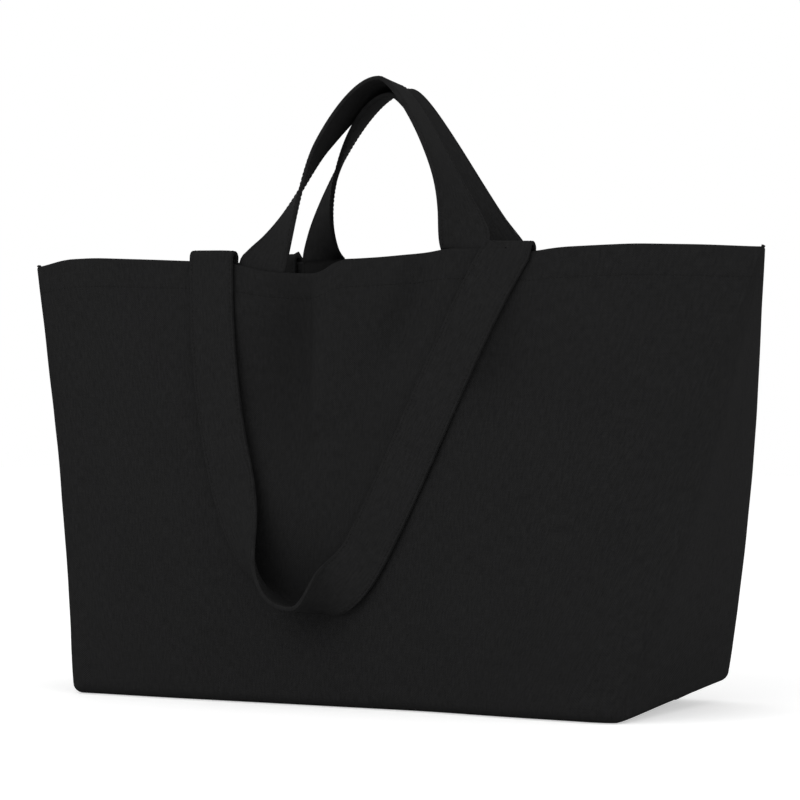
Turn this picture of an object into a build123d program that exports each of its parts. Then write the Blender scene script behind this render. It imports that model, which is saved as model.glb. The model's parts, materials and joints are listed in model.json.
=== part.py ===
from build123d import *
from math import asin, atan2, cos, degrees, radians, sin
import os

# Driving dimensions of the bag body, in millimetres
mouth_width = 550
mouth_opening = 90
mouth_flat = 260
mouth_tip_run = 40
mouth_tip_rise = 14
mouth_tip_edge = 0.5
mouth_tip_corner = 1.5
base_length = 410
base_depth = 160
base_flat = 200
base_corner = 20
base_bow = 1.5
bag_height = 298
canvas = 1.2
hem_depth = 22
hem_layers = 2

# Seam allowances, overlocked together inside the bag
seam_allowance = 10
seam_layers = 2
seam_gap = 0.3

# Straps, all folded from canvas to one width and thickness
strap_width = 34
strap_thickness = 3
sewn_length = 34
fold_gap = 0.3
hang_gap = 1.5

# Short handles for the hand, one nested under the other
grab_spacing = 150
front_grab_rise = 121
back_grab_rise = 108
grab_crown_off = 8
grab_lean_in = 12
grab_straight = 38
grab_crown = 31
grab_crown_x = 6
front_crown_tilt = 6
back_crown_tilt = 2

# Long straps for the shoulder, which hang down the outside in an uneven loop
shoulder_spacing = 222
shoulder_drop = 231
shoulder_low_x = -46
shoulder_straight = 100
shoulder_steep_in = 2
shoulder_slant_in = 41
shoulder_steep_bend = 39
shoulder_slant_bend = 76

# Shares of a strap's leg: where it has settled from its level foot, and where a long one turns on edge
strap_settle = 0.15
shoulder_steep_turn = (0.25, 0.85)
shoulder_slant_turn = (0.6, 1)

# How late a short handle starts to turn on edge, and how soon it has turned
grab_turn_delay = 1.4
grab_turn_haste = 4

# How many flat facets the curves are divided into
front_facets = 5
corner_facets = 4
half_spans = 32

# Values that follow from the driving dimensions
hem_thickness = canvas * (1 + hem_layers)
seam_thickness = canvas * seam_layers
hinge_y = -(mouth_opening - hem_thickness) / 2
fold_radius = hem_thickness / 2 + fold_gap + strap_thickness / 2
wall_tilt = degrees(atan2((base_depth - mouth_opening) / 2, bag_height))
tip_widening = (mouth_tip_run**2 + mouth_tip_rise**2) ** 0.5 / mouth_tip_rise
hem_bottom = bag_height - hem_depth
corner_seam_top = canvas + seam_thickness

os.makedirs("parts", exist_ok=True)


def between(low, high, share):
    return low + (high - low) * share


def bend(curve, share):
    """A point of a cubic curve, and the direction in which the curve runs there."""
    start, first, second, end = curve
    rest = 1 - share
    at = start * rest**3 + first * 3 * rest**2 * share + second * 3 * rest * share**2 + end * share**3
    run = (first - start) * rest**2 + (second - first) * 2 * rest * share + (end - second) * share**2
    return at, run.normalized()


def facets(curve, count):
    """Points along a cubic curve, from its start to its end."""
    return [bend(curve, i / count)[0] for i in range(count + 1)]


def seam_x(z, inset):
    """Half the bag's width along the side seams at a height, inside a wall."""
    share = z / bag_height
    half = between(base_length, mouth_width, share) / 2
    return half - inset * between(1, tip_widening, share)


def bag_section(z, inset):
    """The front half's outline at a height: a box at the base, half a lens at the mouth.

    Each front corner of the base runs up to an end of the mouth, so the sides are triangles.
    """
    share = z / bag_height
    side = seam_x(z, inset)
    front = between(base_depth, mouth_opening, share) / 2 - inset
    flat = between(base_flat, mouth_flat, share) / 2
    corner = between(base_corner, mouth_tip_corner, share)
    edge = between(front - base_bow - base_corner, mouth_tip_edge, share)
    third = (side - corner - flat) / 3
    tip_x = between(side - corner - third, side - mouth_tip_run, share)
    tip_y = between(front - base_bow / 2, mouth_tip_rise, share)
    fold = Vector(side - corner, -edge - between(corner, corner / 2, share))
    sharp = Vector(side, fold.Y)
    front_curve = [Vector(flat, -front), Vector(flat + third, -front), Vector(tip_x, -tip_y), fold]
    corner_curve = [fold, sharp, sharp, Vector(side, -edge)]
    right = facets(front_curve, front_facets) + facets(corner_curve, corner_facets)[1:] + [Vector(side, 0)]
    left = [Vector(-point.X, point.Y) for point in reversed(right)]
    with BuildSketch(Plane.XY.offset(z)) as outline:
        with BuildLine():
            Polyline(*left, *right, close=True)
        make_face()
    return outline.sketch


def front_half(inset):
    """Everything in the bag's front half, at an inset from its outer face."""
    with BuildPart() as core:
        add(bag_section(inset and canvas, inset))
        add(bag_section(bag_height, inset))
        loft(ruled=True)
    return core.part


def write(piece, name):
    piece.label = name
    export_step(piece, f"parts/{name}.step")


def turned(piece):
    """The same piece at the back of the bag, half a turn round."""
    with BuildPart() as back:
        add(piece, rotation=(0, 0, 180))
    return back.part


# Front panel: one cut of canvas that wraps half of both sides and half of the base
with BuildPart() as front_panel:
    add(front_half(0))
    add(front_half(canvas), mode=Mode.SUBTRACT)
write(front_panel.part, "front_panel")
write(turned(front_panel.part), "back_panel")

# Front hem: the canvas turned in along the mouth
with BuildPart() as front_hem:
    add(front_half(canvas))
    add(front_half(hem_thickness), mode=Mode.SUBTRACT)
    split(bisect_by=Plane.XY.offset(hem_bottom), keep=Keep.TOP)
write(front_hem.part, "front_hem")
write(turned(front_hem.part), "back_hem")

# Corner seam: the boxed corner's allowance, lying on the base along one side
corner_x = seam_x(canvas, canvas) - seam_allowance
with BuildPart() as right_corner_seam:
    add(front_half(canvas))
    with BuildSketch(Plane.XY.offset(canvas)):
        with Locations((corner_x, 0)):
            Rectangle(seam_allowance * 2, base_depth, align=(Align.MIN, Align.CENTER))
    extrude(amount=seam_thickness, mode=Mode.INTERSECT)
    mirror(about=Plane.XZ)
write(right_corner_seam.part, "right_corner_seam")
write(turned(right_corner_seam.part), "left_corner_seam")

# Base seam: the two panels' allowances, pressed towards the back
with BuildPart() as base_seam:
    with BuildSketch(Plane.XY.offset(canvas)):
        Rectangle((corner_x - seam_gap) * 2, seam_allowance, align=(Align.CENTER, Align.MIN))
    extrude(amount=seam_thickness)
write(base_seam.part, "base_seam")

# Side seam: the two panels' allowances, standing in from the end of the mouth
side_low = corner_seam_top + seam_gap
side_high = hem_bottom - seam_gap
with BuildPart() as right_side_seam:
    add(front_half(canvas))
    with BuildSketch(Plane.XZ):
        with BuildLine():
            Polyline(
                (seam_x(side_low, 0), side_low),
                (seam_x(side_high, 0), side_high),
                (seam_x(side_high, canvas) - seam_allowance, side_high),
                (seam_x(side_low, canvas) - seam_allowance, side_low),
                close=True,
            )
        make_face()
    extrude(amount=seam_thickness / 2, mode=Mode.INTERSECT)
    mirror(about=Plane.XZ)
write(right_side_seam.part, "right_side_seam")
write(turned(right_side_seam.part), "left_side_seam")


def sewn_ends(spacing):
    """A front strap's two ends, sewn flat on the inside of the hem."""
    with BuildPart() as ends:
        with BuildSketch(Plane.XY.offset(bag_height)):
            with GridLocations(spacing, 0, 2, 1):
                with Locations((0, hinge_y + hem_thickness / 2)):
                    Rectangle(strap_width, strap_thickness, align=(Align.CENTER, Align.MIN))
        extrude(amount=-sewn_length)
    return ends.part


def loop_axes(tilt):
    """The ways up and outward in the plane of a strap's loop, which leans by a tilt."""
    lean = radians(tilt)
    return Vector(0, sin(lean), cos(lean)), Vector(0, -cos(lean), sin(lean))


def soon_turned(share):
    """Share of its quarter turn that a short handle has made, some way up a leg."""
    return 1 - (1 - share**grab_turn_delay) ** grab_turn_haste


def turned_between(start, end):
    """The same for a strap that turns between two places on a leg."""

    def turned_by(share):
        part = min(max((share - start) / (end - start), 0), 1)
        return part**2 * (3 - 2 * part)

    return turned_by


def strap_section(leg, share, travel, turned_by, foot, tilt, crown_tilt, way, bulge, gap):
    """The plane of a strap's section, at a share of the way from a foot to the middle.

    The strap leaves its feet level, lies flat in the loop's plane, and stands square to it in
    the middle, with the edge that was inside the loop turned out, way 1, or in, way -1.
    """
    at, run = bend(leg, share)
    rising = 1 if leg[3].Y > 0 else -1
    settled = min(share / strap_settle, 1)
    run = (Vector(0, rising) * (1 - settled) + run * settled).normalized()
    across, up, out = Vector(1, 0, 0), *loop_axes(between(tilt, crown_tilt, share) * settled)
    along = (across * run.X + up * run.Y) * travel
    inward = (across * run.Y - up * run.X) * travel * rising
    turn = radians(90) * turned_by(share)
    facing = inward * cos(turn) + out * sin(turn) * way
    up, out = loop_axes(tilt)
    centre = foot + across * at.X + up * at.Y + out * (bulge * sin(turn) + gap * share)
    return Plane(centre, x_dir=facing, z_dir=along)


def strap_loop(left_leg, right_leg, left_turning, right_turning, *hung):
    """A front strap, skinned with flat triangles from its left foot over the middle to its right foot."""
    steps = [i / half_spans for i in range(half_spans + 1)]
    sections = [strap_section(left_leg, share, 1, left_turning, *hung) for share in steps]
    sections += [strap_section(right_leg, share, -1, right_turning, *hung) for share in reversed(steps[:-1])]
    wide, thick = strap_width / 2, strap_thickness / 2
    corners = [(-wide, -thick), (wide, -thick), (wide, thick), (-wide, thick)]
    rings = [[section.from_local_coords(corner) for corner in corners] for section in sections]
    outlines = [rings[0], rings[-1]]
    for near, far in zip(rings, rings[1:]):
        for left, right in ((0, 1), (3, 2), (0, 3), (1, 2)):
            outlines.append([near[left], near[right], far[right]])
            outlines.append([near[left], far[right], far[left]])
    skin = [Face(Wire.make_polygon(outline)) for outline in outlines]
    with BuildPart() as loop:
        add(Solid(Shell(skin)))
    return loop.part


def grab_handle(rise, crown_tilt, way):
    """A short handle that rises from inside the hem and leans in, almost to the middle of the mouth."""
    foot = Vector(0, hinge_y + fold_radius, bag_height + fold_gap)
    middle = Vector(grab_crown_x * way, rise)
    crown = Vector(grab_crown * rise / front_grab_rise, 0)
    legs = [
        [
            Vector(side * grab_spacing / 2, 0),
            Vector(side * (grab_spacing / 2 - grab_lean_in), grab_straight),
            middle + crown * side,
            middle,
        ]
        for side in (-1, 1)
    ]
    tilt = degrees(asin((-grab_crown_off - foot.Y) / rise))
    return strap_loop(*legs, soon_turned, soon_turned, foot, tilt, crown_tilt, way, 0, 0)


# Short handles: the back one is lower, turns the same way as the front one and nests under it
front_grab_ends = sewn_ends(grab_spacing)
write(front_grab_ends, "front_grab_handle_ends")
write(turned(front_grab_ends), "back_grab_handle_ends")
write(grab_handle(front_grab_rise, front_crown_tilt, 1), "front_grab_handle")
write(turned(grab_handle(back_grab_rise, back_crown_tilt, -1)), "back_grab_handle")

# Shoulder straps: sewn inside, folded over the hem and hanging against the outside
front_shoulder_ends = sewn_ends(shoulder_spacing)
write(front_shoulder_ends, "front_shoulder_strap_ends")
write(turned(front_shoulder_ends), "back_shoulder_strap_ends")

hinge = Plane((0, hinge_y, bag_height), x_dir=(0, 1, 0), z_dir=(1, 0, 0))
with BuildPart() as front_shoulder_folds:
    for way in (-1, 1):
        with BuildSketch(hinge.offset(way * shoulder_spacing / 2 - strap_width / 2)):
            Circle(fold_radius + strap_thickness / 2)
            Circle(fold_radius - strap_thickness / 2, mode=Mode.SUBTRACT)
            split(bisect_by=Plane.XZ, keep=Keep.BOTTOM)
        extrude(amount=strap_width)
write(front_shoulder_folds.part, "front_shoulder_strap_folds")
write(turned(front_shoulder_folds.part), "back_shoulder_strap_folds")

low_point = Vector(shoulder_low_x, -shoulder_drop)
steep_leg = [
    Vector(-shoulder_spacing / 2, 0),
    Vector(-shoulder_spacing / 2 + shoulder_steep_in, -shoulder_straight),
    low_point - Vector(shoulder_steep_bend, 0),
    low_point,
]
slant_leg = [
    Vector(shoulder_spacing / 2, 0),
    Vector(shoulder_spacing / 2 - shoulder_slant_in, -shoulder_straight),
    low_point + Vector(shoulder_slant_bend, 0),
    low_point,
]
hang_foot = Vector(0, hinge_y - fold_radius, bag_height - fold_gap)
front_shoulder_strap = strap_loop(
    steep_leg,
    slant_leg,
    turned_between(*shoulder_steep_turn),
    turned_between(*shoulder_slant_turn),
    hang_foot,
    wall_tilt,
    wall_tilt,
    1,
    strap_width / 2,
    hang_gap,
)
write(front_shoulder_strap, "front_shoulder_strap")
write(turned(front_shoulder_strap), "back_shoulder_strap")
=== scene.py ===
"""A black canvas tote bag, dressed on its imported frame. Lengths are in metres."""

import json
import math

import bpy
import numpy as np
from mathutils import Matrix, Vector, noise


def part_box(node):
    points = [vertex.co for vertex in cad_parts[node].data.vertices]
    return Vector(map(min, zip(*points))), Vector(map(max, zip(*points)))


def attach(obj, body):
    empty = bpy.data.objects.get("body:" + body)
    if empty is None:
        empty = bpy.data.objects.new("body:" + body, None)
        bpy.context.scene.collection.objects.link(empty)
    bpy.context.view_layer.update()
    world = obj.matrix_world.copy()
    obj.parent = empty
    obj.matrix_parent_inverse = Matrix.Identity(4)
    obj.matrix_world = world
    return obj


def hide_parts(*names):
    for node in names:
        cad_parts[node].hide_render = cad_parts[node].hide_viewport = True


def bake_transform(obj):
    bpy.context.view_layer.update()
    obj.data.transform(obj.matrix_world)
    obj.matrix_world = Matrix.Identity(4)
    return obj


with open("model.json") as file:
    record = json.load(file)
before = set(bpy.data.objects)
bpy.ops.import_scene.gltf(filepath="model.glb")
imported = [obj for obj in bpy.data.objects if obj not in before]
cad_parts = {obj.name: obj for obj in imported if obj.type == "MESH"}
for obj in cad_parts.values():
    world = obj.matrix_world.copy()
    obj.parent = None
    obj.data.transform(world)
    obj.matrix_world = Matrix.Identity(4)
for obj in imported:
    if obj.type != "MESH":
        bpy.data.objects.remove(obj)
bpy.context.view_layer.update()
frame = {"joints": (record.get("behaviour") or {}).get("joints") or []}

# Sizes read from the frame
panel_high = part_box("front_panel")[1]
end_low, end_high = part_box("front_grab_handle_ends")
hem_low, hem_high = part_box("front_hem")
HEIGHT = panel_high.z
HEM_DEPTH = hem_high.z - hem_low.z
STRAP_THICK = end_high.y - end_low.y
SEWN = end_high.z - end_low.z
HINGE = {j["name"]: Vector(j["pos_m"]) for j in frame["joints"]}["front_grab_fold"]

# Sizes that the part's source also has
CANVAS = 0.0012
HEM = 3 * CANVAS
STRAP_WIDTH = 0.034
SEAM_WIDTH = 0.010
SEAM_THICK = 2 * CANVAS
FOLD_GAP = 0.0003
HANG_GAP = 0.0015
FOLD_RADIUS = HEM / 2 + FOLD_GAP + STRAP_THICK / 2
SHOULDER_SPACING = 0.222

MOUTH_OPENING, MOUTH_FLAT, MOUTH_TIP = 0.090, 0.260, (0.040, 0.014)
BASE_LENGTH, BASE_DEPTH, BASE_FLAT, BASE_BOW = 0.410, 0.160, 0.200, 0.0015
TIP_EDGE, TIP_CORNER = 0.0005, 0.0015
WALL_TILT = math.atan2((BASE_DEPTH - MOUTH_OPENING) / 2, HEIGHT)

# How soft the canvas is at its folds; the base's left and right corners in each half
BASE_CORNERS = {"front": (0.020, 0.042), "back": (0.020, 0.020)}
EDGE_RADIUS = 0.007
SEAM_GAP = 0.00004
PLY_GAP = 0.0001

# Shares of the way round a quarter of the bag: flat front, curved front, corner, side
STRETCHES = (0, 0.36, 0.70, 0.86, 1)

# How the mouth rises and sags along each hem: place along the bag, height
HEM_LINE = {
    "front": [(-0.275, -0.0024), (-0.245, 0.002), (-0.215, 0.0018), (-0.18, -0.0004), (-0.137, -0.003),
              (-0.1, -0.005), (-0.068, -0.0125), (-0.028, -0.0142), (-0.014, -0.005), (0.018, -0.004),
              (0.048, -0.002), (0.063, 0.0005), (0.09, 0), (0.126, -0.0032), (0.145, -0.0005),
              (0.196, 0.0014), (0.24, 0.0005), (0.275, -0.0012)],
    "back": [(-0.275, -0.0024), (-0.2, 0.001), (-0.107, -0.0015), (-0.05, 0.0005), (0.03, -0.003),
             (0.085, -0.007), (0.14, -0.002), (0.2, 0.0005), (0.275, -0.0012)],
}

# Folds in the canvas: where each starts and ends (along, up), how far in it goes,
# and how wide it is on its left and on its right
FOLDS = {
    "front": [
        ((-0.042, 0.300), (-0.040, 0.130), 0.0160, 0.034, 0.009),
        ((-0.018, 0.300), (-0.024, 0.165), -0.0040, 0.009, 0.016),
        ((0.052, 0.296), (0.016, 0.200), 0.0080, 0.015, 0.013),
        ((-0.002, 0.187), (-0.042, 0.161), 0.0036, 0.009, 0.005),
        ((0.117, 0.262), (0.090, 0.170), 0.0085, 0.011, 0.022),
    ],
    "back": [
        ((0.072, 0.300), (0.058, 0.160), 0.0070, 0.021, 0.021),
        ((0.024, 0.300), (0.030, 0.180), -0.0030, 0.012, 0.012),
        ((-0.046, 0.296), (-0.014, 0.220), 0.0040, 0.015, 0.015),
        ((-0.110, 0.262), (-0.088, 0.180), 0.0045, 0.014, 0.014),
    ],
}
# How far above and below its start a fold deepens, and the shares of its length in which it ends
FOLD_START, FOLD_END = (-0.04, 0.05), (0.45, 1.15)

# Ripples: height, and waves to a metre
WAVE, WAVE_SCALE = 0.0011, 16.0

# How far the left and the right side bow half way up, and how far the mouth's two tips lean
SIDE_SWAY = (0.0036, 0.0058)
TIP_SHIFT = (-0.0098, -0.0062)

# The base corner that lifts from the floor, and the corners that are pushed out: place, reach, push
LIFT = 0.0145
LIFTED_CORNER, LIFT_REACH = (0.205, 0.080), 0.165
SEAM_HOLD = 0.05
CORNER_PUSHES = [
    ((0.205, 0.080), 0.150, (0.0085, 0.006)),
    ((0.205, -0.080), 0.160, (0.004, -0.016)),
]


def smooth(low, high, value):
    """0 below low, 1 above high, and a soft rise between."""
    t = np.clip((value - low) / (high - low), 0, 1)
    return t * t * (3 - 2 * t)


def cubic(points, t):
    """Points of a cubic curve, and the direction in which it runs there."""
    a, b, c, d = (np.asarray(p, float) for p in points)
    t = np.asarray(t, float)[..., None]
    at = a * (1 - t) ** 3 + 3 * b * (1 - t) ** 2 * t + 3 * c * (1 - t) * t**2 + d * t**3
    run = (b - a) * (1 - t) ** 2 + 2 * (c - b) * (1 - t) * t + (d - c) * t**2
    return at, run


def unit(vectors):
    size = np.linalg.norm(vectors, axis=-1, keepdims=True)
    return vectors / np.maximum(size, 1e-12)


def eased(points, places):
    """Heights along a line of places, rounded off between the given points."""
    xs, zs = np.array(points).T
    spread = np.linspace(-0.008, 0.008, 9)
    return np.mean([np.interp(places + shift, xs, zs) for shift in spread], axis=0)


def quarter(share, base_corner):
    """The four stretches of a quarter of the bag's outline, at the base, 0, or the mouth, 1."""
    side = (BASE_LENGTH, 2 * panel_high.x)[share] / 2
    front = (BASE_DEPTH, MOUTH_OPENING)[share] / 2
    flat = (BASE_FLAT, MOUTH_FLAT)[share] / 2
    corner = (base_corner, TIP_CORNER)[share]
    edge = (front - BASE_BOW - base_corner, TIP_EDGE)[share]
    third = (side - corner - flat) / 3
    tip = ((side - corner - third, front - BASE_BOW / 2), (side - MOUTH_TIP[0], MOUTH_TIP[1]))[share]
    fold = (side - corner, edge + (corner, corner / 2)[share])
    sharp = (side, fold[1])
    return (
        [(0, front), (flat / 3, front), (flat * 2 / 3, front), (flat, front)],
        [(flat, front), (flat + third, front), tip, fold],
        [fold, sharp, sharp, (side, edge)],
        [(side, edge), (side, edge * 2 / 3), (side, edge / 3), (side, 0)],
    )


def outline(share, around, half):
    """Half the bag's outline: around runs from the left seam, -1, to the right one, 1."""
    at = np.zeros((len(around), 2))
    for way, base_corner in zip((-1, 1), BASE_CORNERS[half]):
        for curve, start, end in zip(quarter(share, base_corner), STRETCHES, STRETCHES[1:]):
            on = (around * way >= start) & (around * way <= end)
            at[on] = cubic(curve, (np.abs(around[on]) - start) / (end - start))[0]
    return at * np.stack([np.sign(around), -np.ones(len(around))], -1)


def dent(along, up, half):
    """How far the canvas is pressed in by its folds."""
    depth = np.zeros_like(along)
    for (x0, z0), (x1, z1), deep, left, right in FOLDS[half]:
        axis = np.array([x1 - x0, z1 - z0])
        length = np.linalg.norm(axis)
        axis /= length
        on = (along - x0) * axis[0] + (up - z0) * axis[1]
        off = (along - x0) * axis[1] - (up - z0) * axis[0]
        fade = smooth(*FOLD_START, on) * (1 - smooth(*FOLD_END, on / length))
        wide = np.where(off > 0, left, right) * (0.7 + 0.6 * on / length)
        depth += deep * fade * np.exp(-((off / wide) ** 2))
    return depth


def ripple(points):
    """Soft unevenness of the canvas, the same on every run."""
    flat = points.reshape(-1, 3) * WAVE_SCALE
    values = [noise.noise(Vector(p)) + 0.5 * noise.noise(Vector(p) * 2.3) for p in flat]
    return np.array(values).reshape(points.shape[:-1])


def near_corner(points, corner, reach):
    """1 at a corner of the base, going straight down to 0 at a reach."""
    away = np.hypot(points[..., 0] - corner[0], points[..., 1] - corner[1])
    return np.clip(1 - away / reach, 0, 1)


def corner_lift(points):
    """How far the soft back corner of the base lifts from the floor."""
    return LIFT * near_corner(points, LIFTED_CORNER, LIFT_REACH)


def corner_push(points):
    """How far the soft corners of the base are pushed out, with the side seam held in its place."""
    total = np.zeros_like(points[..., :2])
    for corner, reach, push in CORNER_PUSHES:
        near = smooth(0, 1, near_corner(points, corner, reach))
        off_seam = smooth(0, SEAM_HOLD, points[..., 1] * np.sign(corner[1]))
        total += np.stack([near * push[0], near * off_seam * push[1]], -1)
    return total


def wall(around, up, half):
    """Outer face of the bag's front or back half, one row for each height in up."""
    base, mouth = outline(0, around, half), outline(1, around, half)
    share = (up / HEIGHT)[:, None]
    x = base[:, 0] * (1 - share) + mouth[:, 0] * share
    y = base[:, 1] * (1 - share) + mouth[:, 1] * share
    z = np.broadcast_to(up[:, None], x.shape)
    facing = smooth(0.84, 0.62, np.abs(around))[None]
    edges = smooth(0, 0.05, share) * (1 - 0.7 * smooth(0.86, 1, share))
    edges = edges * smooth(1, 0.9, np.abs(around))[None]
    uneven = WAVE * ripple(np.stack([x, y if half == "front" else -y + 1, z], -1)) * edges
    bow = np.sin(np.pi * np.clip(share, 0, 1))
    x = x + np.where(x < 0, *SIDE_SWAY) * bow * smooth(0.1, 0.24, np.abs(x))
    x = x + np.where(x < 0, *TIP_SHIFT) * share * smooth(0.13, 0.26, np.abs(x))
    y = y + dent(x, z, half) * facing + uneven
    sag = eased(HEM_LINE[half], mouth[:, 0])[None]
    points = np.stack([x, y, z + sag * np.clip(share, 0, 2) ** 4], -1)
    if half == "back":
        points[..., 1] *= -1
    down = np.clip(1 - share, 0, 1)
    points[..., 2] += corner_lift(points) * down**2
    points[..., :2] += corner_push(points) * down[..., None]
    return points


def seam_limit(points, half):
    """Keeps a half's inner faces on its own side of the side seams."""
    if half == "front":
        points[..., 1] = np.minimum(points[..., 1], -SEAM_GAP)
    else:
        points[..., 1] = np.maximum(points[..., 1], SEAM_GAP)
    return points


def grid_faces(rows, columns, start=0, flip=False, closed=False):
    """Quads of a grid of points, whose columns may close into a ring."""
    wrap = columns if closed else columns - 1
    r, c = np.meshgrid(np.arange(rows - 1), np.arange(wrap), indexing="ij")
    a = start + r * columns + c
    b = start + r * columns + (c + 1) % columns
    quads = np.stack([a, b, b + columns, a + columns], -1).reshape(-1, 4)
    return quads[:, ::-1] if flip else quads


def add_piece(name, groups, materials):
    """One mesh object from groups of (points, faces, uv, material number)."""
    points, faces, uvs, numbers, count = [], [], [], [], 0
    for group_points, group_faces, uv, number in groups:
        points.append(group_points.reshape(-1, 3))
        uvs.append(uv.reshape(-1, 2))
        faces += [[int(i) + count for i in face] for face in group_faces]
        numbers += [number] * len(group_faces)
        count += len(points[-1])
    mesh = bpy.data.meshes.new(name)
    mesh.from_pydata(np.concatenate(points).tolist(), [], faces)
    layer = mesh.uv_layers.new(name="cloth")
    corners = np.zeros(len(mesh.loops), int)
    mesh.loops.foreach_get("vertex_index", corners)
    layer.data.foreach_set("uv", np.concatenate(uvs)[corners].ravel())
    mesh.polygons.foreach_set("material_index", numbers)
    for material in materials:
        mesh.materials.append(material)
    mesh.shade_smooth()
    mesh.set_sharp_from_angle(angle=math.radians(55))
    mesh.validate()
    piece = bpy.data.objects.new(name, mesh)
    bpy.context.scene.collection.objects.link(piece)
    return piece


def lengths(points):
    """How far along a line of points each one is."""
    return np.concatenate([[0], np.cumsum(np.linalg.norm(np.diff(points, axis=0), axis=1))])


def normals(points, flip):
    """Outward directions of a grid of points."""
    across, along = np.gradient(points, axis=1), np.gradient(points, axis=0)
    return unit(np.cross(across, along)) * (-1 if flip else 1)


def closed_sheet(outer, inner, flip):
    """Points and faces of a sheet of cloth with both faces and its cut edges."""
    rows, columns = outer.shape[:2]
    count = rows * columns
    outside, inside = grid_faces(rows, columns, 0, flip), grid_faces(rows, columns, count, not flip)
    rim = np.concatenate([
        np.arange(columns),
        np.arange(1, rows) * columns + columns - 1,
        (rows - 1) * columns + np.arange(columns - 2, -1, -1),
        np.arange(rows - 2, 0, -1) * columns,
    ])
    after = np.roll(rim, -1)
    edge = np.stack([rim, rim + count, after + count, after], -1)
    points = np.concatenate([outer.reshape(-1, 3), inner.reshape(-1, 3)])
    return points, np.concatenate([outside, inside, edge[:, ::-1] if flip else edge])


STITCH_TURN = np.linspace(0, 2 * np.pi, 6, endpoint=False)


def stitches(line, out, pitch=0.0032, length=0.0026, radius=0.00028):
    """A row of raised stitches along a line of points, with out the way that the cloth faces."""
    run = lengths(line)
    middles = np.arange(pitch, run[-1] - pitch / 2, pitch)

    def on(values, places):
        return np.stack([np.interp(places, run, values[:, i]) for i in range(3)], -1)

    start, end = on(line, middles - length / 2), on(line, middles + length / 2)
    up = unit(on(out, middles))
    axis = unit(end - start)
    side = unit(np.cross(axis, up))
    up = np.cross(side, axis)
    rings = []
    for share, size, height in ((0, 0.5, -0.7), (0.22, 1, 0.35), (0.78, 1, 0.35), (1, 0.5, -0.7)):
        middle = start + (end - start) * share + up * radius * height
        for turn in STITCH_TURN:
            rings.append(middle + (side * math.cos(turn) + up * math.sin(turn)) * radius * size)
    points = np.stack(rings, 1)
    sides = len(STITCH_TURN)
    one = grid_faces(4, sides, closed=True)
    faces = (one[None] + (np.arange(len(middles)) * 4 * sides)[:, None, None]).reshape(-1, 4)
    uv = np.broadcast_to(np.stack([middles, middles], -1)[:, None], points.shape[:2] + (2,))
    return points, faces, uv


# Materials
def node(tree, kind, values=(), **settings):
    made = tree.nodes.new(kind)
    for name, value in settings.items():
        setattr(made, name, value)
    for socket, value in dict(values).items():
        made.inputs[socket].default_value = value
    return made


def math_node(tree, operation, *values):
    made = tree.nodes.new("ShaderNodeMath")
    made.operation = operation
    for socket, value in zip(made.inputs, values):
        if isinstance(value, bpy.types.NodeSocket):
            tree.links.new(value, socket)
        else:
            socket.default_value = value
    return made.outputs[0]


def streaks(tree, place, scale, detail=2.0):
    """Grain drawn out along one thread direction, from 0 to 1."""
    mapped = node(tree, "ShaderNodeMapping", {"Scale": scale})
    grain = node(tree, "ShaderNodeTexNoise", {"Scale": 1.0, "Detail": detail, "Roughness": 0.6})
    tree.links.new(place, mapped.inputs["Vector"])
    tree.links.new(mapped.outputs[0], grain.inputs["Vector"])
    return grain.outputs["Fac"]


def canvas_material(name, colour, pitch=0.00066, slub=0.75, bump=0.5):
    """Dyed plain-weave cotton canvas: crossing threads, slubs along both, and faded patches."""
    material = bpy.data.materials.new(name)
    material.use_nodes = True
    tree = material.node_tree
    shader = tree.nodes["Principled BSDF"]
    place = node(tree, "ShaderNodeUVMap", uv_map="cloth").outputs[0]
    parts = node(tree, "ShaderNodeSeparateXYZ")
    tree.links.new(place, parts.inputs[0])
    warp = math_node(tree, "SINE", math_node(tree, "MULTIPLY", parts.outputs[0], math.pi / pitch))
    weft = math_node(tree, "SINE", math_node(tree, "MULTIPLY", parts.outputs[1], math.pi / pitch))
    weave = math_node(tree, "MULTIPLY", warp, weft)
    fine, coarse = 0.5 / pitch, 0.10 / pitch
    warp_slubs = streaks(tree, place, (fine, coarse, 1))
    weft_slubs = streaks(tree, place, (coarse, fine, 1))
    slubs = math_node(tree, "MULTIPLY_ADD", weft_slubs, 0.4, warp_slubs)
    patches = streaks(tree, place, (22, 22, 1), 4.0)
    tone = math_node(tree, "MULTIPLY_ADD", slubs, slub, 1 - 0.7 * slub)
    tone = math_node(tree, "MULTIPLY_ADD", math_node(tree, "SUBTRACT", patches, 0.5), 0.16, tone)
    tone = math_node(tree, "MULTIPLY_ADD", weave, 0.10, tone)
    mixed = node(tree, "ShaderNodeMix", data_type="RGBA", blend_type="MULTIPLY")
    mixed.inputs["Factor"].default_value = 1.0
    mixed.inputs["A"].default_value = (*colour, 1)
    tree.links.new(tone, mixed.inputs["B"])
    tree.links.new(mixed.outputs["Result"], shader.inputs["Base Color"])
    height = math_node(tree, "ADD", math_node(tree, "MULTIPLY", weave, 0.5), slubs)
    raised = node(tree, "ShaderNodeBump", {"Strength": bump, "Distance": 0.00022})
    tree.links.new(height, raised.inputs["Height"])
    tree.links.new(raised.outputs[0], shader.inputs["Normal"])
    tree.links.new(math_node(tree, "MULTIPLY_ADD", slubs, 0.06, 0.88), shader.inputs["Roughness"])
    shader.inputs["Specular IOR Level"].default_value = 0.01
    shader.inputs["Sheen Weight"].default_value = 0.004
    shader.inputs["Sheen Roughness"].default_value = 0.5
    return material


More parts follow.
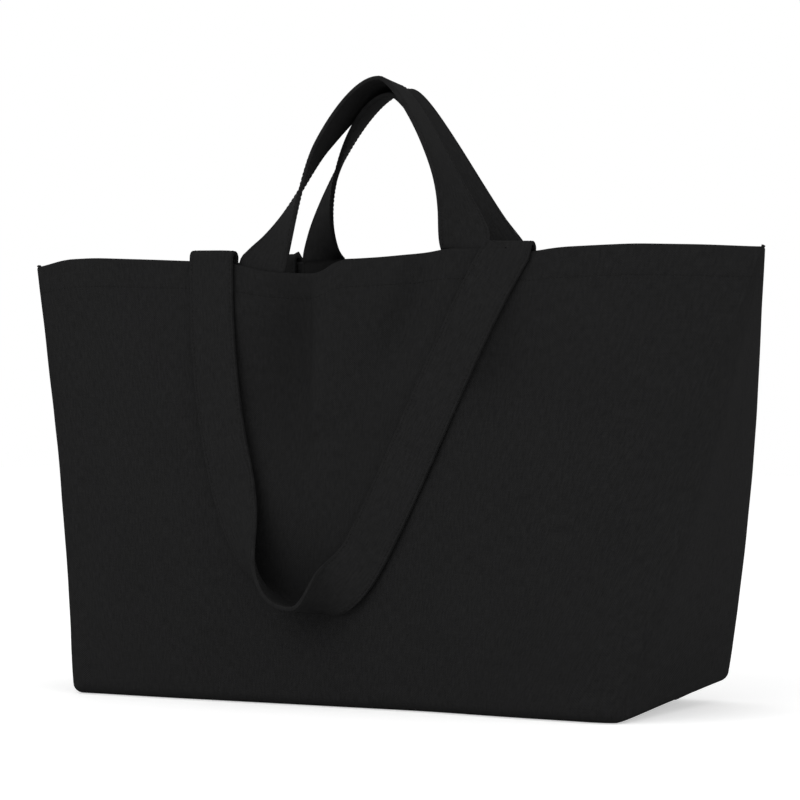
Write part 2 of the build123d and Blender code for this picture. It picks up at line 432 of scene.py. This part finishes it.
def thread_material():
    """Black sewing thread, a little smoother than the canvas."""
    material = bpy.data.materials.new("black_thread")
    material.use_nodes = True
    tree = material.node_tree
    shader = tree.nodes["Principled BSDF"]
    place = node(tree, "ShaderNodeUVMap", uv_map="cloth").outputs[0]
    twist = streaks(tree, place, (2600, 900, 1))
    tint = node(tree, "ShaderNodeMix", data_type="RGBA")
    tint.inputs["A"].default_value = (0.0125, 0.0125, 0.0125, 1)
    tint.inputs["B"].default_value = (0.017, 0.017, 0.017, 1)
    tree.links.new(twist, tint.inputs["Factor"])
    tree.links.new(tint.outputs["Result"], shader.inputs["Base Color"])
    raised = node(tree, "ShaderNodeBump", {"Strength": 0.4, "Distance": 0.0001})
    tree.links.new(twist, raised.inputs["Height"])
    tree.links.new(raised.outputs[0], shader.inputs["Normal"])
    shader.inputs["Roughness"].default_value = 0.8
    shader.inputs["Specular IOR Level"].default_value = 0.02
    return material


CANVAS_BLACK = (0.0146, 0.0146, 0.0148)
panel_canvas = canvas_material("bag_canvas", CANVAS_BLACK)
strap_canvas = canvas_material("strap_canvas", (0.0152, 0.0152, 0.0154))
seam_canvas = canvas_material("seam_canvas", (0.0128, 0.0128, 0.0130))
thread = thread_material()

# Bag body
COLUMNS = 201
around = np.linspace(-1, 1, COLUMNS)
BASE_ROWS = 14
ROLL_ROWS = 6
WALL_ROWS = 80
LIP_ROWS = 5
HEM_STITCH_RISE = 0.0025


def inward(points, half):
    """Level directions from the mouth's edge into the bag."""
    run = np.gradient(points, axis=0)
    level = np.stack([-run[:, 1], run[:, 0], np.zeros(len(run))], -1)
    return unit(level) * (1 if half == "front" else -1)


def panel(half):
    """One panel: half the base, the rolled bottom edge, the wall and the turned lip of the mouth."""
    foot = wall(around, np.array([EDGE_RADIUS]), half)[0]
    lift = corner_lift(foot)
    foot[:, 2] -= lift
    aim = inward(foot, half)
    seam_side = np.sign(foot[:, 1].sum())
    rows = []
    for share in np.linspace(0.004, 1, BASE_ROWS):
        row = foot + aim * EDGE_RADIUS
        row[:, 1] = np.where(row[:, 1] * seam_side > 0, row[:, 1], 0) * share + seam_side * SEAM_GAP
        row[:, 2] = corner_lift(row)
        rows.append(row)
    for turn in np.linspace(0, math.pi / 2, ROLL_ROWS + 1)[1:-1]:
        row = foot + aim * EDGE_RADIUS * (1 - math.sin(turn))
        row[:, 2] = EDGE_RADIUS * (1 - math.cos(turn)) + lift
        rows.append(seam_limit(row, half))
    heights = np.linspace(EDGE_RADIUS, HEIGHT - HEM / 2, WALL_ROWS)
    rows += list(wall(around, heights, half))
    top = wall(around, np.array([HEIGHT - HEM / 2]), half)[0]
    into = inward(top, half)
    for turn in np.linspace(0, math.pi / 2, LIP_ROWS)[1:]:
        rise = np.array([0, 0, HEM / 2 * math.sin(turn)])
        rows.append(top + into * HEM / 2 * (1 - math.cos(turn)) + rise)
    outer = seam_limit(np.array(rows), half)
    flip = half == "back"
    face = normals(outer, flip)
    face[:BASE_ROWS] = (0, 0, -1)
    inner = seam_limit(outer - face * CANVAS, half)
    middle = outer[len(rows) // 2]
    u = np.broadcast_to(lengths(middle), outer.shape[:2])
    v = np.broadcast_to(lengths(outer[:, COLUMNS // 2])[:, None], outer.shape[:2])
    uv = np.stack([u, v], -1)
    points, faces = closed_sheet(outer, inner, flip)
    groups = [(points, faces, np.concatenate([uv, uv]), 0)]
    piece = add_piece(f"{half}_panel_cloth", groups, [panel_canvas])
    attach(piece, "bag")
    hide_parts(f"{half}_panel")
    return piece


def hem(half):
    """The turned-in canvas along one half of the mouth."""
    radius = HEM / 2
    face = CANVAS + PLY_GAP
    section = [(radius, 0.00002)]
    for t in np.linspace(0.3, math.pi / 2, 5):
        section.append((radius + radius * math.sin(t), radius * (1 - math.cos(t))))
    end = (HEM - face) / 2
    for t in np.linspace(0, math.pi, 7):
        section.append((face + end + end * math.cos(t), HEM_DEPTH - end + end * math.sin(t)))
    section += [(face, radius), (radius, radius - 0.0005)]
    rows = []
    for inset, drop in section:
        level = min(HEIGHT - drop, HEIGHT - HEM / 2)
        row = wall(around, np.array([level]), half)[0]
        row = row + inward(row, half) * inset
        row[:, 2] += HEIGHT - drop - level
        rows.append(row)
    rings = seam_limit(np.array(rows), half).transpose(1, 0, 2)
    columns, count = rings.shape[:2]
    flip = half == "front"
    faces = grid_faces(columns, count, flip=flip, closed=True).tolist()
    first, last = list(range(count)), list(range((columns - 1) * count, columns * count))
    faces += [first, last[::-1]] if not flip else [first[::-1], last]
    u = np.broadcast_to(lengths(rings[:, 0])[:, None], rings.shape[:2])
    v = np.broadcast_to(lengths(rings[0])[None], rings.shape[:2])
    piece = add_piece(f"{half}_hem_cloth", [(rings, faces, np.stack([u, v], -1), 0)], [panel_canvas])
    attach(piece, "bag")
    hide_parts(f"{half}_hem")
    return piece


def hem_stitches(half):
    """The row of stitches that holds a hem, seen on the outside and on the inside."""
    groups = []
    for inset, way in ((0, -1), (HEM, 1)):
        line = wall(around, np.array([HEIGHT - HEM_DEPTH + HEM_STITCH_RISE]), half)[0]
        into = inward(line, half)
        groups.append((*stitches(seam_limit(line + into * inset, half), into * way), 0))
    piece = add_piece(f"{half}_hem_stitches", groups, [thread])
    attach(piece, "bag")
    return piece


for half in ("front", "back"):
    cloth, turned_in, rows = panel(half), hem(half), hem_stitches(half)


# Inner seams
RIBBON_EDGE = [(-1, -0.6), (-1, 0.6), (-0.97, 1), (0.97, 1), (1, 0.6), (1, -0.6), (0.97, -1), (-0.97, -1)]
SEAM_STITCH = 0.0028, 0.0022
SIDE_SEAM_IN, CORNER_SEAM_IN = 0.0015, 0.003


def seam(name, centres, widths):
    """A flat strip of doubled cloth along a line of centres, with half its width given by widths."""
    along = unit(np.gradient(centres, axis=0))
    over = unit(np.cross(along, widths))
    half_width = np.linalg.norm(widths, axis=1)[:, None]
    across = widths / half_width
    rings = np.stack(
        [centres + across * half_width * w + over * SEAM_THICK / 2 * h for w, h in RIBBON_EDGE], 1
    )
    count, size = rings.shape[:2]
    faces = grid_faces(count, size, closed=True).tolist()
    faces += [list(range(size)), list(range((count - 1) * size, count * size))[::-1]]
    u = np.broadcast_to(np.array([w for w, h in RIBBON_EDGE]) * half_width, rings.shape[:2])
    v = np.broadcast_to(lengths(centres)[:, None], rings.shape[:2])
    groups = [(rings, faces, np.stack([u, v], -1), 0)]
    for way in (-1, 1):
        line = centres + widths * 0.35 * way
        for side in (-1, 1):
            groups.append((*stitches(line + over * SEAM_THICK / 2 * side, over * side, *SEAM_STITCH), 1))
    piece = add_piece(f"{name}_cloth", groups, [seam_canvas, thread])
    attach(piece, "bag")
    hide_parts(name)


def level_line(low, high, along, axis):
    """A line of points through the middle of a box, with the given places along one axis."""
    middle = [(a + b) / 2 for a, b in zip(low, high)]
    points = np.tile(middle, (len(along), 1))
    points[:, axis] = along
    return points


def inner_seams():
    """The allowances at the sides, at the boxed corners and under the middle of the base."""
    heights = np.linspace(0.0042, HEIGHT - HEM_DEPTH - 0.0006, 60)
    for side, way in (("left", -1), ("right", 1)):
        edge = wall(np.array([way * 1.0]), heights, "front")[:, 0]
        edge[:, 1] = 0
        widening = 1 + 1.9 * heights / HEIGHT
        edge[:, 0] -= way * (CANVAS * widening + SEAM_WIDTH / 2 + SIDE_SEAM_IN)
        widths = np.zeros_like(edge)
        widths[:, 0] = SEAM_WIDTH / 2
        seam(f"{side}_side_seam", edge, widths)
        low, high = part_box(f"{side}_corner_seam")
        centres = level_line(low, high, np.linspace(low.y + 0.008, high.y - 0.008, 40), 1)
        centres[:, 0] -= way * CORNER_SEAM_IN
        centres[:, 2] += corner_lift(centres)
        widths = np.zeros_like(centres)
        widths[:, 0] = (high.x - low.x) / 2 - 0.001
        seam(f"{side}_corner_seam", centres, widths)
    low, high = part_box("base_seam")
    centres = level_line(low, high, np.linspace(low.x, high.x, 80), 0)
    centres[:, 2] += corner_lift(centres)
    widths = np.zeros_like(centres)
    widths[:, 1] = (high.y - low.y) / 2
    seam("base_seam", centres, widths)


inner_seams()


# Straps
def loop_axes(tilt):
    """The ways up and outward in the plane of a strap's loop, which leans by a tilt."""
    return (
        np.stack([0 * tilt, np.sin(tilt), np.cos(tilt)], -1),
        np.stack([0 * tilt, -np.cos(tilt), np.sin(tilt)], -1),
    )


def soon_turned(delay, haste):
    """Share of its quarter turn that a short handle has made, some way up a leg."""
    return lambda shares: 1 - (1 - shares**delay) ** haste


def leg_frames(leg, shares, travel, turned_by, foot, tilt, crown_tilt, way, bulge, gap):
    """Centres and width directions of half a strap, from a foot to the middle of the loop."""
    at, run = cubic(leg, shares)
    rising = 1 if leg[3][1] > 0 else -1
    settled = smooth(0, SETTLE, shares)
    run = unit(unit(run) * settled[:, None] + np.array([0, rising]) * (1 - settled[:, None]))
    across = np.array([1.0, 0, 0])
    up, out = loop_axes((tilt + (crown_tilt - tilt) * shares) * settled)
    turn = math.pi / 2 * turned_by(shares)[:, None]
    inner = (across * run[:, 1:] - up * run[:, :1]) * travel * rising
    width = inner * np.cos(turn) + out * np.sin(turn) * way
    up, out = loop_axes(np.full(len(shares), tilt))
    centre = np.array(foot) + across * at[:, :1] + up * at[:, 1:]
    return centre + out * (bulge * np.sin(turn) + gap * shares[:, None]), width


LEG_STEPS = 90


def loop_frames(left, right, left_turned, right_turned, *hung):
    """Centres and width directions of a loop, from its left foot to its right one."""
    shares = np.linspace(0, 1, LEG_STEPS)
    first = leg_frames(left, shares, 1, left_turned, *hung)
    second = leg_frames(right, shares, -1, right_turned, *hung)
    return [np.concatenate([a, b[-2::-1]]) for a, b in zip(first, second)]


def strap_frames(spacing, middle, fold):
    """A whole strap: a sewn end, the way over the hem if it folds, the loop and the other end."""
    y_end = (end_low.y + end_high.y) / 2
    rise = np.linspace(HEIGHT - SEWN, HEIGHT - FOLD_GAP, 14)
    end = np.stack([0 * rise, np.full(14, y_end), rise], -1)
    if fold:
        turns = np.linspace(0, math.pi, 29)[1:-1]
        over_hem = np.stack([0 * turns, np.cos(turns), np.sin(turns)], -1) * FOLD_RADIUS
        end = np.concatenate([end[:-1], over_hem + np.array([0, HINGE.y, HEIGHT])])
    across = np.array([1.0, 0, 0])
    left, right = end - across * spacing / 2, end + across * spacing / 2
    centres = np.concatenate([left, middle[0], right[::-1]])
    level = np.broadcast_to(across, end.shape)
    widths = np.concatenate([level, middle[1], -level])
    return centres, widths


STRAP_SECTION_STEPS = 13
STITCH_ROW = 0.84

# How much of the hem's rise and sag a folded strap takes, where any strap stops following the hem,
# and how far below the mouth the folds that press it are read
FOLD_SLACK = 0.35
FOLLOWS = 0.012, 0.085
PRESS_DROP = 0.004


def strap_section():
    """Half widths and heights round a strap: thin at its two stitched rows, rounded at its edges."""
    places = np.sin(np.linspace(-math.pi / 2, math.pi / 2, STRAP_SECTION_STEPS))
    groove = 0.14 * np.exp(-(((np.abs(places) - STITCH_ROW) / 0.05) ** 2))
    edge = np.sqrt(np.clip(1 - (np.clip((np.abs(places) - 0.93) / 0.07, 0, 1)) ** 2, 0, 1))
    height = np.maximum((0.98 - groove) * edge, 0.12)
    return np.concatenate([np.stack([places, height], -1), np.stack([places, -height], -1)[::-1]])


def strap(name, half, spacing, frames, fold, nodes):
    """One strap in one piece of canvas, which bends where it leaves the hem."""
    centres, widths = strap_frames(spacing, frames, fold)
    along = unit(np.gradient(centres, axis=0))
    widths = unit(widths - along * np.sum(widths * along, axis=1, keepdims=True))
    over = np.cross(along, widths)
    section = strap_section()
    rings = np.stack(
        [centres + widths * STRAP_WIDTH / 2 * w + over * STRAP_THICK / 2 * h for w, h in section], 1
    )
    run = lengths(centres)
    near = 1 - smooth(*FOLLOWS, np.minimum(run, run[-1] - run) - SEWN)[:, None]
    place = rings[..., 0] * (1 if half == "front" else -1)
    line = eased(HEM_LINE[half], place.ravel()).reshape(place.shape)
    pressed = dent(place, np.full(place.shape, HEIGHT - PRESS_DROP), half)
    rings[..., 2] += line * near * (FOLD_SLACK if fold else 1)
    rings[..., 1] += pressed * near
    count, size = rings.shape[:2]
    faces = grid_faces(count, size, closed=True).tolist()
    faces += [list(range(size)), list(range((count - 1) * size, count * size))[::-1]]
    u = np.broadcast_to(section[:, 0] * STRAP_WIDTH / 2, rings.shape[:2])
    v = np.broadcast_to(run[:, None], rings.shape[:2])
    groups = [(rings, faces, np.stack([u, v], -1), 0)]
    edge = int(np.argmin(np.abs(section[:STRAP_SECTION_STEPS, 0] - STITCH_ROW)))
    for index in (edge, STRAP_SECTION_STEPS - 1 - edge):
        for ring, way in ((index, 1), (size - 1 - index, -1)):
            groups.append((*stitches(rings[:, ring], over * way), 1))
    if half == "back":
        for group in groups:
            group[0][..., :2] *= -1
    piece = add_piece(name, groups, [strap_canvas, thread])
    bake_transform(piece)
    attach(piece, "bag")
    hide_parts(*nodes)


# Short handles: feet, crown, and the lean, straight and crown of the left and the right leg
GRABS = {
    "front": {"spacing": 0.153, "rise": 0.1185, "crown_x": 0.005, "crown_off": 0.009, "crown_tilt": 6,
              "legs": [(0.014, 0.036, 0.030), (0.003, 0.034, 0.014)]},
    "back": {"spacing": 0.144, "rise": 0.1145, "crown_x": 0.006, "crown_off": 0.0045, "crown_tilt": 10,
             "legs": [(0, 0.033, 0.033), (0.019, 0.027, 0.017)]},
}
GRAB_TURNS = soon_turned(0.9, 2.1), soon_turned(1.1, 5.5)

# Long straps: the low point, then the lean, straight, bend and turn of the steep and the slanting leg
LOW_X, DROP = -0.015, -0.238
STEEP = 0.009, -0.150, 0.040, (0.38, 0.90)
SLANT = 0.048, -0.082, 0.034, (0.68, 0.98)

# Share of a leg in which a strap has settled from its level foot
SETTLE = 0.15


def grab_loop(half):
    """A short handle, which turns with its inner edge to the front of the bag on both halves."""
    grab = GRABS[half]
    rise = grab["rise"]
    world = 1 if half == "front" else -1
    foot = (0, HINGE.y + FOLD_RADIUS, HEIGHT + FOLD_GAP)
    reach, middle = grab["spacing"] / 2, grab["crown_x"] * world
    legs = []
    for way, (lean, straight, crown) in zip((-1, 1), grab["legs"][::world]):
        low, high = (way * (reach - lean), straight), (middle + way * crown, rise)
        legs.append([(way * reach, 0), low, high, (middle, rise)])
    tilt = math.asin((-grab["crown_off"] - foot[1]) / rise)
    crown_tilt = math.radians(grab["crown_tilt"])
    return loop_frames(*legs, *GRAB_TURNS[::world], foot, tilt, crown_tilt, world, 0, 0)


def shoulder_loop():
    """A long strap, hanging down the outside in an uneven loop."""
    foot = (0, HINGE.y - FOLD_RADIUS, HEIGHT - FOLD_GAP)
    reach = SHOULDER_SPACING / 2
    legs, turns = [], []
    for way, (lean, straight, bend, span) in ((-1, STEEP), (1, SLANT)):
        low = LOW_X + way * bend
        legs.append([(way * reach, 0), (way * (reach - lean), straight), (low, DROP), (LOW_X, DROP)])
        turns.append(lambda shares, span=span: smooth(*span, shares))
    return loop_frames(*legs, *turns, foot, WALL_TILT, WALL_TILT, 1, STRAP_WIDTH / 2, HANG_GAP)


for half, way in (("front", 1), ("back", -1)):
    strap(
        f"{half}_grab_strap", half, GRABS[half]["spacing"], grab_loop(half),
        False,
        [f"{half}_grab_handle", f"{half}_grab_handle_ends"],
    )
    strap(
        f"{half}_shoulder_band", half, SHOULDER_SPACING, shoulder_loop(),
        True,
        [f"{half}_shoulder_strap", f"{half}_shoulder_strap_ends", f"{half}_shoulder_strap_folds"],
    )

# Stage, light and camera
WHITE = (1, 1, 1, 1)
FLOOR_SIZE, FLOOR_DROP = 6.0, 0.0002


def floor():
    """A plain pale floor, lighter to the camera than to the bag."""
    mesh = bpy.data.meshes.new("floor")
    corners = ((-1, -1), (1, -1), (1, 1), (-1, 1))
    points = [(x * FLOOR_SIZE, y * FLOOR_SIZE, -FLOOR_DROP) for x, y in corners]
    mesh.from_pydata(points, [], [(0, 1, 2, 3)])
    material = bpy.data.materials.new("pale_floor")
    material.use_nodes = True
    tree = material.node_tree
    shader = tree.nodes["Principled BSDF"]
    shader.inputs["Base Color"].default_value = (0.86, 0.86, 0.86, 1)
    shader.inputs["Roughness"].default_value = 0.9
    shader.inputs["Specular IOR Level"].default_value = 0.1
    shader.inputs["Emission Color"].default_value = WHITE
    seen = node(tree, "ShaderNodeLightPath")
    glow = math_node(tree, "MULTIPLY", seen.outputs["Is Camera Ray"], 0.45)
    tree.links.new(glow, shader.inputs["Emission Strength"])
    mesh.materials.append(material)
    made = bpy.data.objects.new("floor", mesh)
    bpy.context.scene.collection.objects.link(made)


# Lamps: name, place, size, power; and the world's strength for the bag's own light
LAMPS = [("key", (-0.70, -2.2, 1.5), 2.6, 27), ("side", (2.2, 0.0, 0.5), 1.4, 12)]
WORLD_LIGHT = 0.64


def studio():
    """A white world that lights the bag less than it shows, two soft lamps and plain colours."""
    world = bpy.data.worlds.new("studio")
    bpy.context.scene.world = world
    world.use_nodes = True
    tree = world.node_tree
    sky = tree.nodes["Background"]
    sky.inputs["Color"].default_value = WHITE
    seen = node(tree, "ShaderNodeLightPath")
    shown = math_node(tree, "MAXIMUM", seen.outputs["Is Camera Ray"], seen.outputs["Is Glossy Ray"])
    shown = math_node(tree, "MAXIMUM", shown, seen.outputs["Is Transmission Ray"])
    strength = math_node(tree, "MULTIPLY_ADD", shown, 1 - WORLD_LIGHT, WORLD_LIGHT)
    tree.links.new(strength, sky.inputs["Strength"])
    for name, place, size, power in LAMPS:
        lamp = bpy.data.lights.new(name, "AREA")
        lamp.size = size
        lamp.energy = power
        made = bpy.data.objects.new(name, lamp)
        made.location = place
        made.rotation_euler = (Vector((0, 0, 0.16)) - Vector(place)).to_track_quat("-Z", "Y").to_euler()
        bpy.context.scene.collection.objects.link(made)
    bpy.context.scene.view_settings.view_transform = "Standard"


AZIMUTH, ELEVATION, DISTANCE = math.radians(27.6), math.radians(-0.1), 2.0
TARGET = Vector((0.0087, 0, 0.2000))
FOCAL_SHARE = 2975 / 800


def camera():
    """The photo's camera, as fitted to the bag's outline."""
    lens = bpy.data.cameras.new("camera")
    lens.sensor_fit = "HORIZONTAL"
    lens.sensor_width = 36
    lens.lens = 36 * FOCAL_SHARE
    made = bpy.data.objects.new("camera", lens)
    level = math.cos(ELEVATION)
    away = Vector((math.sin(AZIMUTH) * level, -math.cos(AZIMUTH) * level, math.sin(ELEVATION)))
    made.location = TARGET + away * DISTANCE
    made.rotation_euler = (-away).to_track_quat("-Z", "Y").to_euler()
    bpy.context.scene.collection.objects.link(made)
    bpy.context.scene.camera = made


floor()
studio()
camera()
